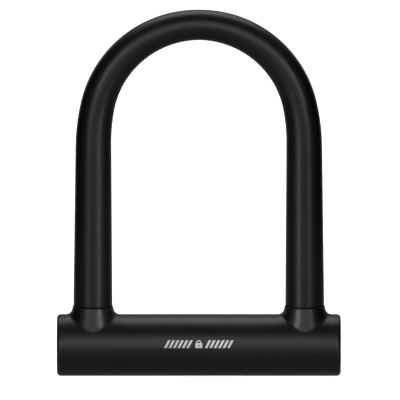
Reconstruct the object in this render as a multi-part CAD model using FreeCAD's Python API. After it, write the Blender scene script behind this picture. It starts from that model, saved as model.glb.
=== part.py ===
"""A U lock: a sleeved steel shackle whose two feet drop into a round crossbar.

Millimetres. The crossbar lies along X and the shackle's legs stand up along Z. Every sub-part is
modelled about the crossbar's own axis, and save() raises it so that the crossbar's lowest line is
at Z = 0. The stored pose is closed and unlocked: feet seated, bolts drawn in, shutter shut.
"""

import FreeCAD, Part
import math
import os

V = FreeCAD.Vector
X, Y, Z = V(1, 0, 0), V(0, 1, 0), V(0, 0, 1)

# ---- driving dimensions: crossbar ----
CROSSBAR_R = 18.75          # outside radius of the moulded cover
CROSSBAR_HALF = 86.1        # half of the overall length
TUBE_R = 16.0               # outside radius of the steel tube
TUBE_BORE_R = 12.8
TUBE_HALF = 82.0
PIN_R = 1.5                 # cross pins that hold the plugs and the carrier in the tube
PIN_TOP_Z = 15.8            # just below the tube's outside
WALL_GAP = 0.05             # between the lock carrier and the tube

# ---- driving dimensions: ends of the crossbar ----
CAP_FLANGE = 3.0            # thickness of an end cap's flange
CAP_ROUNDING = 2.4
CAP_GROOVE = 0.25           # chamfer where the cap meets the cover
CAP_BOSS_R = 4.0
CAP_BOSS_X = 77.0
END_PLUG_X = (75.5, TUBE_HALF)
END_PIN_X = 79.0
END_PIN_Z = 8.5

# ---- driving dimensions: shackle ----
LEG_X = 64.25               # leg axis from the middle
BAR_R = 7.0                 # steel bar
APEX_Z = 196.8              # centre of the bar at the top of the bend
BEND_R = 62.6               # centreline radius over the top
EASE = 12.0                 # degrees at each end of the bend that ease into the leg
BAR_EASE_R = 138.1          # centreline radius of the easing arc
SLEEVE_EASE_R = 118.0       # tighter, because the sleeve is thicker on the outside of the leg
FOOT_END_Z = -10.0
FOOT_CHAMFER = 1.5
SLEEVE_END_Z = 25.1
SLEEVE_R_END = 11.8         # sleeve radius where it meets the collar
SLEEVE_R_LEG = 10.85        # at the top of the leg
SLEEVE_R_EASE = 10.4        # where the main bend starts
SLEEVE_R_APEX = 9.2         # where the sleeve is stretched thinnest
SLEEVE_EDGE = 0.35

# ---- driving dimensions: collars that the legs enter ----
COLLAR_TOP_Z = 24.3
COLLAR_TOP_R = 12.1
COLLAR_DRAFT = 0.24         # radius gained per millimetre downwards
COLLAR_FOOT_Z = 8.0
COLLAR_BLEND = 4.0
COLLAR_EDGE = 0.3
GUIDE_R = 9.0
GUIDE_BORE_R = 7.08
GUIDE_Z = (10.5, 22.1)
SEAL_R = 9.6
SEAL_BORE_R = 7.3
SEAL_TOP_Z = 24.8
SEAL_LIP = 0.6
PAD_R = 6.0
PAD_TOP_Z = -10.4

# ---- driving dimensions: bolts and drive ----
BOLT_Z = 4.5
BOLT_R = 4.5
BOLT_TIP_X = 54.7           # drawn in
BOLT_TIP_CHAMFER = 1.0
BOLT_ROD_START = 12.0
CRANK_R = 5.0               # drive pins from the plug's axis
CRANK_REST = math.radians(45)
DRIVE_PIN_R = 1.5
DRIVE_PIN_SEAT = 0.9        # depth of cam left under a drive pin
SLOT_HALF = 1.75            # half width of the slot that a drive pin runs in
BLADE_Y = (0.3, 8.0)
BLADE_Z = (2.9, 6.3)
SLOT_Y = (1.75, 6.8)
BLADE_TAIL = 2.1            # blade beyond the slot
SLOT_REST_X = CRANK_R * math.sin(CRANK_REST)
NOTCH_DEPTH = 5.0
NOTCH_HALF = 5.25
CHANNEL_R = 4.58
CHANNEL_START = 11.4

# ---- driving dimensions: lock carrier and cylinder ----
CARRIER_R = TUBE_BORE_R - WALL_GAP
CARRIER_HALF = 46.0
CHAMBER = (19.8, 8.4, 2.7, 6.7)      # half x, half y, low z, high z
CARRIER_PIN_X = 38.0
CARRIER_PIN_Z = 9.8
LID_SCREW_AT = [(side_x * 30.0, side_y * 8.0) for side_x in (-1, 1) for side_y in (-1, 1)]
LID_SCREW_R = 1.25
LID_SCREW_Z = -2.0
LID_HEAD_R = 2.2
LID_HEAD_Z = (6.1, 7.5)
LID_HEAD_PLAY = 0.1
LID_SOCKET_R = 0.9
LID_SOCKET_DEPTH = 0.8
CAM_CHAMBER_R = 9.3

# ---- driving dimensions: disc cylinder ----
HOUSING_R = 9.0
HOUSING_Z = (-16.6, -1.0)
HOUSING_BORE_R = 6.88
HOUSING_LIP = 1.2
HOUSING_PIN_R = 1.25
HOUSING_PIN_HALF = 8.0
HOUSING_PIN_AT = V(9.6, 0, -6.0)
FACE_OPENING_R = 5.2
RUNNING_FIT = 0.08
PLUG_R = 6.8
PLUG_Z = (-15.3, -3.5)
PLUG_NOSE_Z = -16.0
PLUG_WALL = 1.1
PLUG_FACE = 1.2
KEYWAY = (3.2, 7.6)                  # width and height of the key slot
SIDE_SLOT_HALF = 1.0                 # the sidebar's slot in the plug
SIDE_SLOT_Z = PLUG_Z[0] + 2.4
DISC_R = 5.6
DISC_T = 1.0
DISC_COUNT = 6
SPACER_T = 0.4
ANTI_DRILL_T = 1.2
ANTI_DRILL_Z = PLUG_Z[0] + PLUG_FACE
STACK_Z = ANTI_DRILL_Z + ANTI_DRILL_T
SPRING_R = (3.9, 5.5)                # bore and rim of the coned washer
SPRING_W = 0.3
SIDEBAR_R = 0.95
SIDEBAR_AT = 5.75
CAM_R = 8.5
CAM_Z = (0.1, 2.6)
TAIL_R = 3.0
TAIL_FLAT = 2.4                      # half width over the tail's two flats
TAIL_FLANGE = 1.2
TAIL_TOP_Z = CAM_Z[1] - 0.1
CAM_SCREW_R = (1.1, 2.2)             # shank and head
CAM_SCREW_Z = (-2.9, CAM_Z[1] - 1.2, CAM_Z[1] - 0.1)

# ---- driving dimensions: keyhole escutcheon and shutter ----
BEZEL_X = (-18.0, 34.4)
BEZEL_HALF_Y = 10.5
BEZEL_CORNER = 4.0
FLOOR_R = 17.0
LIP_R = 17.9
TRACK_X = (-10.0, 26.5)
TRACK_HALF_Y = 8.6
MOUTH_HALF_Y = 7.3
SHUTTER_HALF_X = 9.6
SHUTTER_PLAY = 0.1
SHUTTER_FACE_R = 18.2
RIB_R = 18.65
RIB_X = (-3.0, -1.0, 1.0, 3.0)
RIB_HALF_X = 0.45
RIB_HALF_Y = 5.0
BEZEL_SCREW_X = (BEZEL_X[0] + 3.8, BEZEL_X[1] - 3.8)
BEZEL_SCREW_R = (1.0, 2.0)           # shank and head
BEZEL_HEAD_T = 1.0
BEZEL_HEAD_PLAY = 0.15
BEZEL_SCREW_TOP_Z = -TUBE_BORE_R - 0.3
BEZEL_SOCKET_R = 0.75
BEZEL_SOCKET_TOP_Z = -CROSSBAR_R + 0.8

# ---- driving dimensions: printed mark ----
MARK_ANGLE = math.radians(12)        # above the middle of the front
MARK_HEIGHT = 4.7
MARK_HALF_WIDTH = 24.0
INK = 0.06
BAR_COUNT = 6                        # slanted bars on each side of the sign
BAR_W = 1.5
BAR_PITCH = 2.7
BAR_START = 5.6
BAR_LEAN = 1.2
SIGN_HALF_W = 2.1                    # padlock sign
SIGN_BODY_TOP = 0.6
SIGN_HOLE_R = 0.5
SIGN_LOOP_R = (0.85, 1.5)


def along(axis, radius, low, high, at=V(0, 0, 0)):
    """A round bar of the given radius from low to high on a line through at, along axis."""
    return Part.makeCylinder(radius, high - low, at + axis * low, axis)


def ring(radius, bore, low, high, at=V(0, 0, 0), axis=Z):
    return along(axis, radius, low, high, at).cut(along(axis, bore, low - 1, high + 1, at))


def block(x, y, z):
    """A box from its ranges along X, Y and Z."""
    return Part.makeBox(x[1] - x[0], y[1] - y[0], z[1] - z[0], V(x[0], y[0], z[0]))


def shell(inner, outer, x):
    """A piece of round wall about the crossbar's axis, over a range of X."""
    return ring(outer, inner, x[0], x[1], axis=X)


def rounded_plate(x, y, z, corner):
    """A box whose four upright edges are rounded."""
    box = block(x, y, z)
    upright = [e for e in box.Edges if abs(e.tangentAt(e.FirstParameter).z) > 0.99]
    return box.makeFillet(corner, upright)


def slot_prism(width, length, z):
    """An upright prism with a round-ended slot as its outline, long along Y."""
    radius, reach = width / 2, (length - width) / 2
    prism = block((-radius, radius), (-reach, reach), z)
    for side in (-reach, reach):
        prism = prism.fuse(along(Z, radius, z[0], z[1], V(0, side, 0)))
    return prism.removeSplitter()


def edges_at(shape, test):
    return [e for e in shape.Edges if test(e)]


def level_edges(shape, z):
    """The edges that lie wholly at one height."""
    return edges_at(shape, lambda e: abs(e.BoundBox.ZMin - z) < 1e-3 and e.BoundBox.ZLength < 1e-3)


def upright_edges(shape, x):
    """The edges that lie wholly in one plane square to the crossbar."""
    return edges_at(shape, lambda e: abs(e.BoundBox.XMin - x) < 1e-3 and e.BoundBox.XLength < 1e-3)


def mirrored(shape):
    """The same piece at the other end of the crossbar."""
    return shape.mirror(V(0, 0, 0), X)


def half_turned(shape):
    """The same piece turned half round about the upright axis."""
    turned = shape.copy()
    turned.rotate(V(0, 0, 0), Z, 180)
    return turned


def save(name, *solids):
    """Raises the solids onto the ground line and writes them as one node."""
    shape = solids[0] if len(solids) == 1 else Part.makeCompound(list(solids))
    raised = shape.copy()
    raised.translate(V(0, 0, CROSSBAR_R))
    bad = [s for s in raised.Solids if not s.isValid() or s.Volume <= 0]
    if bad or not raised.Solids:
        raise ValueError(name + " is not made of sound solids")
    raised.exportStep("parts/" + name + ".step")
    print(f"{name}: {len(raised.Solids)} solid(s), {sum(s.Volume for s in raised.Solids):.1f} mm3")


# ---------------------------------------------------------------- shackle

def ease_points(ease_r):
    """Centre of the easing arc, and the point where the leg ends."""
    ease = math.radians(EASE)
    centre_z = APEX_Z - BEND_R
    ease_centre = V((BEND_R - ease_r) * math.cos(ease), 0, centre_z + (BEND_R - ease_r) * math.sin(ease))
    return ease_centre, ease_centre + X * ease_r


def bar_blank():
    """The bent round bar, before its feet are cut."""
    ease_centre, leg_top = ease_points(BAR_EASE_R)
    section = Part.Face(Part.Wire(Part.makeCircle(BAR_R, leg_top, Z)))
    side = section.revolve(ease_centre, -Y, EASE)
    side = side.fuse(along(Z, BAR_R, FOOT_END_Z, leg_top.z, V(leg_top.x, 0, 0)))
    bend_section = section.copy()
    bend_section.rotate(ease_centre, -Y, EASE)
    bend = bend_section.revolve(V(0, 0, APEX_Z - BEND_R), -Y, 180 - 2 * EASE)
    return bend.fuse([side, mirrored(side)]).removeSplitter()


def shackle_bar():
    bar = bar_blank()
    bar = bar.makeChamfer(FOOT_CHAMFER, level_edges(bar, FOOT_END_Z))
    floor_x = LEG_X - BAR_R + NOTCH_DEPTH
    notch = block((0, floor_x), (-BAR_R - 1, BAR_R + 1), (BOLT_Z - NOTCH_HALF, BOLT_Z + NOTCH_HALF))
    return bar.cut(notch).cut(mirrored(notch))


def circle_on_bend(centre, path_r, degrees, radius):
    """A circle square to an arc in the XZ plane, the given angle up from +X."""
    circle = Part.Wire(Part.makeCircle(radius, V(path_r, 0, 0), Z))
    circle.rotate(V(0, 0, 0), -Y, degrees)
    circle.translate(centre)
    return circle


def tapered_bend(centre, path_r, degrees, radii):
    """A round rod along an arc, its radius changing steadily from one end to the other."""
    def at(angle):
        a = math.radians(angle)
        return centre + V(path_r * math.cos(a), 0, path_r * math.sin(a))
    middle = sum(degrees) / 2
    spine = Part.Wire(Part.Arc(at(degrees[0]), at(middle), at(degrees[1])).toShape())
    sweep = Part.BRepOffsetAPI.MakePipeShell(spine)
    for angle, radius in zip(degrees, radii):
        sweep.add(circle_on_bend(centre, path_r, angle, radius))
    sweep.build()
    sweep.makeSolid()
    return sweep.shape()


def shackle_sleeve():
    """The moulded sleeve: thickest at its ends, stretched thin over the bend."""
    ease_centre, leg_top = ease_points(SLEEVE_EASE_R)
    foot = Part.Wire(Part.makeCircle(SLEEVE_R_END, V(LEG_X, 0, SLEEVE_END_Z), Z))
    top = Part.Wire(Part.makeCircle(SLEEVE_R_LEG, leg_top, Z))
    leg = Part.makeLoft([foot, top], True, True)
    leg = leg.makeFillet(SLEEVE_EDGE, level_edges(leg, SLEEVE_END_Z))
    ease = tapered_bend(ease_centre, SLEEVE_EASE_R, (0, EASE), (SLEEVE_R_LEG, SLEEVE_R_EASE))
    bend = tapered_bend(V(0, 0, APEX_Z - BEND_R), BEND_R, (EASE, 90), (SLEEVE_R_EASE, SLEEVE_R_APEX))
    halves = [leg, ease, bend]
    halves += [mirrored(piece) for piece in halves]
    outer = halves[0].fuse(halves[1:])
    return outer.cut(bar_blank())


# ---------------------------------------------------------------- crossbar

def crossbar_cover():
    """The moulded cover with its two drafted collars, open at the ends and round the keyhole."""
    half = CROSSBAR_HALF - CAP_FLANGE
    body = along(X, CROSSBAR_R, -half, half)
    body.rotate(V(0, 0, 0), X, 180)
    height = COLLAR_TOP_Z - COLLAR_FOOT_Z
    foot_r = COLLAR_TOP_R + COLLAR_DRAFT * height
    for side in (-1, 1):
        body = body.fuse(Part.makeCone(foot_r, COLLAR_TOP_R, height, V(side * LEG_X, 0, COLLAR_FOOT_Z), Z))

    def is_crease(edge):
        box = edge.BoundBox
        return box.ZLength > 1 and COLLAR_TOP_R < box.XLength < 3 * COLLAR_TOP_R
    body = body.makeFillet(COLLAR_BLEND, edges_at(body, is_crease))
    body = body.makeFillet(COLLAR_EDGE, level_edges(body, COLLAR_TOP_Z))
    body = body.cut(along(X, TUBE_R, -half - 1, half + 1))
    for side in (-1, 1):
        at = V(side * LEG_X, 0, 0)
        body = body.cut(along(Z, GUIDE_R, 0, COLLAR_TOP_Z + 1, at))
        body = body.cut(along(Z, SEAL_R, GUIDE_Z[1], COLLAR_TOP_Z + 1, at))
    return body.cut(bezel_outline(-CROSSBAR_R - 1, 0))


def crossbar_tube():
    tube = ring(TUBE_R, TUBE_BORE_R, -TUBE_HALF, TUBE_HALF, axis=X)
    for side in (-1, 1):
        tube = tube.cut(along(Z, GUIDE_R, 0, TUBE_R + 1, V(side * LEG_X, 0, 0)))
    tube = tube.cut(along(Z, HOUSING_R, -TUBE_R - 1, 0))
    for pin in end_pins() + carrier_pins():
        tube = tube.cut(pin)
    for screw in bezel_screws():
        tube = tube.cut(screw)
    return tube


def end_pins():
    right = along(Z, PIN_R, END_PIN_Z, PIN_TOP_Z, V(END_PIN_X, 0, 0))
    return [mirrored(right), right]


def end_plug():
    """The steel plug pressed into the tube's right end."""
    plug = ring(TUBE_BORE_R, CAP_BOSS_R, END_PLUG_X[0], END_PLUG_X[1], axis=X)
    return plug.cut(end_pins()[1])


def end_cap():
    """The moulded cap on the right end: rounded flange, spigot and a boss held in the plug."""
    inner_x = CROSSBAR_HALF - CAP_FLANGE
    flange = along(X, CROSSBAR_R, inner_x, CROSSBAR_HALF)
    flange = flange.makeFillet(CAP_ROUNDING, upright_edges(flange, CROSSBAR_HALF))
    flange = flange.makeChamfer(CAP_GROOVE, upright_edges(flange, inner_x))
    spigot = along(X, TUBE_R, TUBE_HALF, inner_x)
    boss = along(X, CAP_BOSS_R, CAP_BOSS_X, TUBE_HALF)
    return flange.fuse(spigot).fuse(boss).removeSplitter()


def leg_guide():
    return ring(GUIDE_R, GUIDE_BORE_R, GUIDE_Z[0], GUIDE_Z[1], V(LEG_X, 0, 0))


def leg_seal():
    """A soft ring at the collar's mouth with a bevelled lip."""
    seal = ring(SEAL_R, SEAL_BORE_R, GUIDE_Z[1], SEAL_TOP_Z, V(LEG_X, 0, 0))
    mouth = [e for e in level_edges(seal, SEAL_TOP_Z) if e.BoundBox.XLength < SEAL_BORE_R + SEAL_R]
    return seal.makeChamfer(SEAL_LIP, mouth)


def foot_pad():
    pad = along(Z, PAD_R, -TUBE_BORE_R - 1, PAD_TOP_Z, V(LEG_X, 0, 0))
    return pad.common(along(X, TUBE_BORE_R, 0, TUBE_HALF))


# ---------------------------------------------------------------- carrier and bolts

def carrier_pins():
    right = along(Z, PIN_R, CARRIER_PIN_Z, PIN_TOP_Z, V(CARRIER_PIN_X, 0, 0))
    return [mirrored(right), right]


def housing_pin():
    return along(Y, HOUSING_PIN_R, -HOUSING_PIN_HALF, HOUSING_PIN_HALF, HOUSING_PIN_AT)


def lid_screws():
    screws = []
    low, high = LID_HEAD_Z
    for x, y in LID_SCREW_AT:
        shank = along(Z, LID_SCREW_R, LID_SCREW_Z, low, V(x, y, 0))
        head = along(Z, LID_HEAD_R, low, high, V(x, y, 0))
        socket = along(Z, LID_SOCKET_R, high - LID_SOCKET_DEPTH, high + 1, V(x, y, 0))
        screws.append(shank.fuse(head).cut(socket).removeSplitter())
    return screws


def carrier_blank():
    """The die-cast block that fills the middle of the tube, with its hollows, before it is split."""
    casting = along(X, CARRIER_R, -CARRIER_HALF, CARRIER_HALF)
    casting = casting.cut(along(Z, HOUSING_R, -CARRIER_R - 1, HOUSING_Z[1]))
    casting = casting.cut(along(Z, CAM_CHAMBER_R, HOUSING_Z[1], CHAMBER[2]))
    half_x, half_y, low, high = CHAMBER
    casting = casting.cut(block((-half_x, half_x), (-half_y, half_y), (low, high)))
    for start, end in ((-CARRIER_HALF - 1, -CHANNEL_START), (CHANNEL_START, CARRIER_HALF + 1)):
        casting = casting.cut(along(X, CHANNEL_R, start, end, V(0, 0, BOLT_Z)))
    for x, y in LID_SCREW_AT:
        casting = casting.cut(along(Z, LID_HEAD_R + LID_HEAD_PLAY, LID_HEAD_Z[0], CARRIER_R, V(x, y, 0)))
    for fastener in lid_screws() + carrier_pins() + [housing_pin()]:
        casting = casting.cut(fastener)
    return casting


def carrier_half(z):
    reach = CARRIER_HALF + 1
    return carrier_blank().common(block((-reach, reach), (-CARRIER_R, CARRIER_R), z))


def bolt():
    """The right-hand bolt: a round rod with a slotted blade that a drive pin moves."""
    slot_x = -SLOT_REST_X
    rod = along(X, BOLT_R, BOLT_ROD_START, BOLT_TIP_X, V(0, 0, BOLT_Z))
    rod = rod.makeChamfer(BOLT_TIP_CHAMFER, upright_edges(rod, BOLT_TIP_X))
    blade = block((slot_x - SLOT_HALF - BLADE_TAIL, BOLT_ROD_START), BLADE_Y, BLADE_Z)
    slot = block((slot_x - SLOT_HALF, slot_x + SLOT_HALF), SLOT_Y, (BLADE_Z[0] - 1, BLADE_Z[1] + 1))
    return rod.fuse(blade).cut(slot).removeSplitter()


# ---------------------------------------------------------------- lock cylinder

def sidebar_rod(radius, low, high):
    return along(Z, radius, low, high, V(SIDEBAR_AT, 0, 0))


def cylinder_housing():
    """The fixed shell, with a groove that the sidebar drops into when locked."""
    bore_z = HOUSING_Z[0] + HOUSING_LIP
    body = along(Z, HOUSING_R, -FLOOR_R, HOUSING_Z[1])
    body = body.common(along(X, FLOOR_R - SHUTTER_PLAY, -HOUSING_R - 1, HOUSING_R + 1))
    body = body.cut(along(Z, FACE_OPENING_R, HOUSING_Z[0] - 1, bore_z))
    body = body.cut(along(Z, HOUSING_BORE_R, bore_z, HOUSING_Z[1] + 1))
    groove = along(Z, SIDE_SLOT_HALF, SIDE_SLOT_Z, PLUG_Z[1], V(0, -HOUSING_BORE_R, 0))
    return body.cut(groove).cut(housing_pin())


def plug():
    """The turning core: a cup with the key slot in its face and a side slot for the sidebar."""
    cup = along(Z, PLUG_R, PLUG_Z[0], PLUG_Z[1])
    cup = cup.fuse(along(Z, FACE_OPENING_R - RUNNING_FIT, PLUG_NOSE_Z, PLUG_Z[0])).removeSplitter()
    cup = cup.cut(along(Z, PLUG_R - PLUG_WALL, PLUG_Z[0] + PLUG_FACE, PLUG_Z[1] + 1))
    cup = cup.cut(slot_prism(KEYWAY[0], KEYWAY[1], (HOUSING_Z[0] - 1, PLUG_Z[0] + PLUG_FACE + 1)))
    slot = block((0, PLUG_R + 1), (-SIDE_SLOT_HALF, SIDE_SLOT_HALF), (SIDE_SLOT_Z, PLUG_Z[1] + 1))
    return cup.cut(slot)


def keyed_disc(radius, low, thickness):
    disc = along(Z, radius, low, low + thickness)
    disc = disc.cut(slot_prism(KEYWAY[0], KEYWAY[1], (low - 1, low + thickness + 1)))
    return disc.cut(sidebar_rod(SIDEBAR_R + 0.05, low - 1, low + thickness + 1))


def anti_drill_plate():
    disc = along(Z, DISC_R, ANTI_DRILL_Z, STACK_Z)
    return disc.cut(slot_prism(KEYWAY[0], KEYWAY[1], (ANTI_DRILL_Z - 1, STACK_Z + 1)))


def disc_stack():
    """The detainer discs and the spacers between them."""
    discs, spacers = [], []
    low = STACK_Z
    for k in range(DISC_COUNT):
        discs.append(keyed_disc(DISC_R, low, DISC_T))
        low += DISC_T
        if k < DISC_COUNT - 1:
            spacers.append(keyed_disc(DISC_R - 0.1, low, SPACER_T))
            low += SPACER_T
    return discs, spacers, low


def plug_tail():
    """Closes the back of the plug and carries the cam on two flats."""
    low, high = PLUG_Z[1], PLUG_Z[1] + TAIL_FLANGE
    flange = along(Z, PLUG_R, low, high)
    return flange.fuse(flatted_rod(high, TAIL_TOP_Z)).removeSplitter().cut(cam_screw())


def flatted_rod(low, high):
    """The tail's section: a round rod with two flats."""
    flats = block((-TAIL_FLAT, TAIL_FLAT), (-TAIL_R, TAIL_R), (low, high))
    return along(Z, TAIL_R, low, high).common(flats)


def cam_screw():
    """A flush countersunk screw down the tail's middle."""
    shank_r, head_r = CAM_SCREW_R
    low, head_z, top = CAM_SCREW_Z
    head = Part.makeCone(shank_r, head_r, top - head_z, V(0, 0, head_z), Z)
    return head.fuse(along(Z, shank_r, low, head_z)).removeSplitter()


def drive_pins():
    x, y = -CRANK_R * math.sin(CRANK_REST), CRANK_R * math.cos(CRANK_REST)
    pin = along(Z, DRIVE_PIN_R, CAM_Z[0] + DRIVE_PIN_SEAT, BLADE_Z[1], V(x, y, 0))
    return [pin, half_turned(pin)]


def cam():
    disc = along(Z, CAM_R, CAM_Z[0], CAM_Z[1])
    disc = disc.cut(flatted_rod(CAM_Z[0] - 1, CAM_Z[1] + 1))
    for pin in drive_pins():
        disc = disc.cut(pin)
    return disc


def housing_cap():
    """The ring that keeps the plug in its housing."""
    low = PLUG_Z[1] + TAIL_FLANGE + RUNNING_FIT
    return ring(HOUSING_BORE_R, TAIL_R + RUNNING_FIT, low, HOUSING_Z[1])


def stack_spring(low):
    """A coned washer that presses the discs forward."""
    high = PLUG_Z[1] - WALL_GAP
    bore_r, rim_r = SPRING_R
    points = [V(bore_r, 0, low), V(bore_r + SPRING_W, 0, low),
              V(rim_r, 0, high), V(rim_r - SPRING_W, 0, high)]
    profile = Part.Face(Part.makePolygon(points + points[:1]))
    return profile.revolve(V(0, 0, 0), Z, 360)


# ---------------------------------------------------------------- keyhole escutcheon

def bezel_outline(low, high):
    return rounded_plate(BEZEL_X, (-BEZEL_HALF_Y, BEZEL_HALF_Y), (low, high), BEZEL_CORNER)


def bezel_screws():
    """Two small countersunk screws from below."""
    shank_r, head_r = BEZEL_SCREW_R
    face_z = -CROSSBAR_R + BEZEL_HEAD_PLAY
    neck_z = face_z + BEZEL_HEAD_T
    screws = []
    for x in BEZEL_SCREW_X:
        head = Part.makeCone(head_r, shank_r, BEZEL_HEAD_T, V(x, 0, face_z), Z)
        shank = along(Z, shank_r, neck_z, BEZEL_SCREW_TOP_Z, V(x, 0, 0))
        socket = along(Z, BEZEL_SOCKET_R, -CROSSBAR_R, BEZEL_SOCKET_TOP_Z, V(x, 0, 0))
        screws.append(head.fuse(shank).cut(socket).removeSplitter())
    return screws


def keyhole_bezel():
    """A curved plate flush with the cover, with an undercut track for the shutter."""
    reach = (BEZEL_X[0] - 1, BEZEL_X[1] + 1)
    plate = shell(TUBE_R, CROSSBAR_R, reach).common(bezel_outline(-CROSSBAR_R - 1, 0))
    low_z = (-CROSSBAR_R - 1, 0)
    under = shell(FLOOR_R, LIP_R, TRACK_X).common(block(TRACK_X, (-TRACK_HALF_Y, TRACK_HALF_Y), low_z))
    mouth = shell(FLOOR_R, CROSSBAR_R + 1, TRACK_X).common(
        block(TRACK_X, (-MOUTH_HALF_Y, MOUTH_HALF_Y), low_z))
    plate = plate.cut(under).cut(mouth)
    plate = plate.cut(along(Z, HOUSING_R, -FLOOR_R - 1, 0).common(along(X, FLOOR_R, -HOUSING_R, HOUSING_R)))
    shank_r, head_r = BEZEL_SCREW_R
    seat_depth = BEZEL_HEAD_T + BEZEL_HEAD_PLAY
    for x in BEZEL_SCREW_X:
        at = V(x, 0, -CROSSBAR_R)
        plate = plate.cut(Part.makeCone(head_r + BEZEL_HEAD_PLAY, shank_r, seat_depth, at, Z))
        plate = plate.cut(along(Z, shank_r, -CROSSBAR_R, 0, V(x, 0, 0)))
    return plate


def shutter():
    """A curved slide with a wide foot under the track's lips and four thumb ribs."""
    play = SHUTTER_PLAY
    x = (-SHUTTER_HALF_X, SHUTTER_HALF_X)
    low_z = (-CROSSBAR_R - 1, 0)
    foot_y, face_y = TRACK_HALF_Y - 3 * play, MOUTH_HALF_Y - 3 * play
    foot = shell(FLOOR_R + play, LIP_R - play, x).common(block(x, (-foot_y, foot_y), low_z))
    face = shell(FLOOR_R + play, SHUTTER_FACE_R, x).common(block(x, (-face_y, face_y), low_z))
    slide = foot.fuse(face)
    for middle in RIB_X:
        rib_x = (middle - RIB_HALF_X, middle + RIB_HALF_X)
        outline = rounded_plate(rib_x, (-RIB_HALF_Y, RIB_HALF_Y), low_z, RIB_HALF_X - WALL_GAP)
        slide = slide.fuse(shell(FLOOR_R + play, RIB_R, rib_x).common(outline))
    return slide.removeSplitter()


# ---------------------------------------------------------------- printed mark

def stencil(points):
    """A flat outline, given as X and Z pairs, pushed back through the front of the crossbar."""
    corners = [V(x, -CROSSBAR_R - 2, z) for x, z in points]
    return Part.Face(Part.makePolygon(corners + corners[:1])).extrude(Y * (CROSSBAR_R + 2))


def padlock_sign():
    """A small closed padlock: body with a round hole, and a loop above it."""
    half_w, top, bottom, front = SIGN_HALF_W, SIGN_BODY_TOP, -MARK_HEIGHT / 2, -CROSSBAR_R - 2
    inner, outer = SIGN_LOOP_R
    body = stencil([(-half_w, bottom), (half_w, bottom), (half_w, top), (-half_w, top)])
    body = body.cut(along(Y, SIGN_HOLE_R, front - 1, 1, V(0, 0, (top + bottom) / 2)))
    loop_z = MARK_HEIGHT / 2 - outer
    loop = ring(outer, inner, front, 0, V(0, 0, loop_z), Y)
    upper = block((-half_w, half_w), (front - 1, 1), (loop_z, MARK_HEIGHT))
    legs = stencil([(-outer, top), (outer, top), (outer, loop_z), (-outer, loop_z)])
    legs = legs.cut(stencil([(-inner, top), (inner, top), (inner, loop_z), (-inner, loop_z)]))
    return body.fuse([legs, loop.common(upper)])


def printed_mark():
    """A padlock sign between two rows of slanted bars, as a film of ink."""
    shapes = [padlock_sign()]
    half_h, half_w, lean = MARK_HEIGHT / 2, BAR_W / 2, BAR_LEAN
    for side in (-1, 1):
        for k in range(BAR_COUNT):
            x = side * (BAR_START + k * BAR_PITCH)
            shapes.append(stencil([(x - half_w - lean, -half_h), (x + half_w - lean, -half_h),
                                   (x + half_w + lean, half_h), (x - half_w + lean, half_h)]))
    film = shell(CROSSBAR_R, CROSSBAR_R + INK, (-MARK_HALF_WIDTH, MARK_HALF_WIDTH))
    solids = []
    for shape in shapes:
        inked = film.common(shape)
        inked.rotate(V(0, 0, 0), X, -math.degrees(MARK_ANGLE))
        solids.extend(inked.Solids)
    return solids


def build():
    os.makedirs("parts", exist_ok=True)
    save("shackle_bar", shackle_bar())
    save("shackle_sleeve", shackle_sleeve())
    save("crossbar_tube", crossbar_tube())
    save("crossbar_cover", crossbar_cover())
    for name, piece in (("end_plug", end_plug()), ("end_cap", end_cap()), ("leg_guide", leg_guide()),
                        ("leg_seal", leg_seal()), ("foot_pad", foot_pad())):
        save(name + "_right", piece)
        save(name + "_left", mirrored(piece))
    save("end_plug_pins", *end_pins())
    save("carrier_base", carrier_half((-CARRIER_R, BOLT_Z)))
    save("carrier_lid", carrier_half((BOLT_Z, CARRIER_R)))
    save("carrier_pins", *carrier_pins())
    save("lid_screws", *lid_screws())
    save("bolt_right", bolt())
    save("bolt_left", half_turned(bolt()))
    save("cylinder_housing", cylinder_housing())
    save("housing_pin", housing_pin())
    save("housing_cap", housing_cap())
    save("plug", plug())
    save("anti_drill_plate", anti_drill_plate())
    discs, spacers, stack_top = disc_stack()
    save("detainer_discs", *discs)
    save("disc_spacers", *spacers)
    save("disc_spring", stack_spring(stack_top))
    save("sidebar", sidebar_rod(SIDEBAR_R, STACK_Z, stack_top))
    save("plug_tail", plug_tail())
    save("cam", cam())
    save("drive_pins", *drive_pins())
    save("cam_screw", cam_screw())
    save("keyhole_bezel", keyhole_bezel())
    save("bezel_screws", *bezel_screws())
    save("shutter", shutter())
    save("printed_mark", *printed_mark())


build()
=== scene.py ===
"""Looks of a sleeved bicycle U lock, laid out as an add-on: one operator for each group of pieces."""

import math

import bpy
from bpy.props import FloatProperty, FloatVectorProperty, IntProperty, PointerProperty
from mathutils import Matrix, Vector


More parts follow.
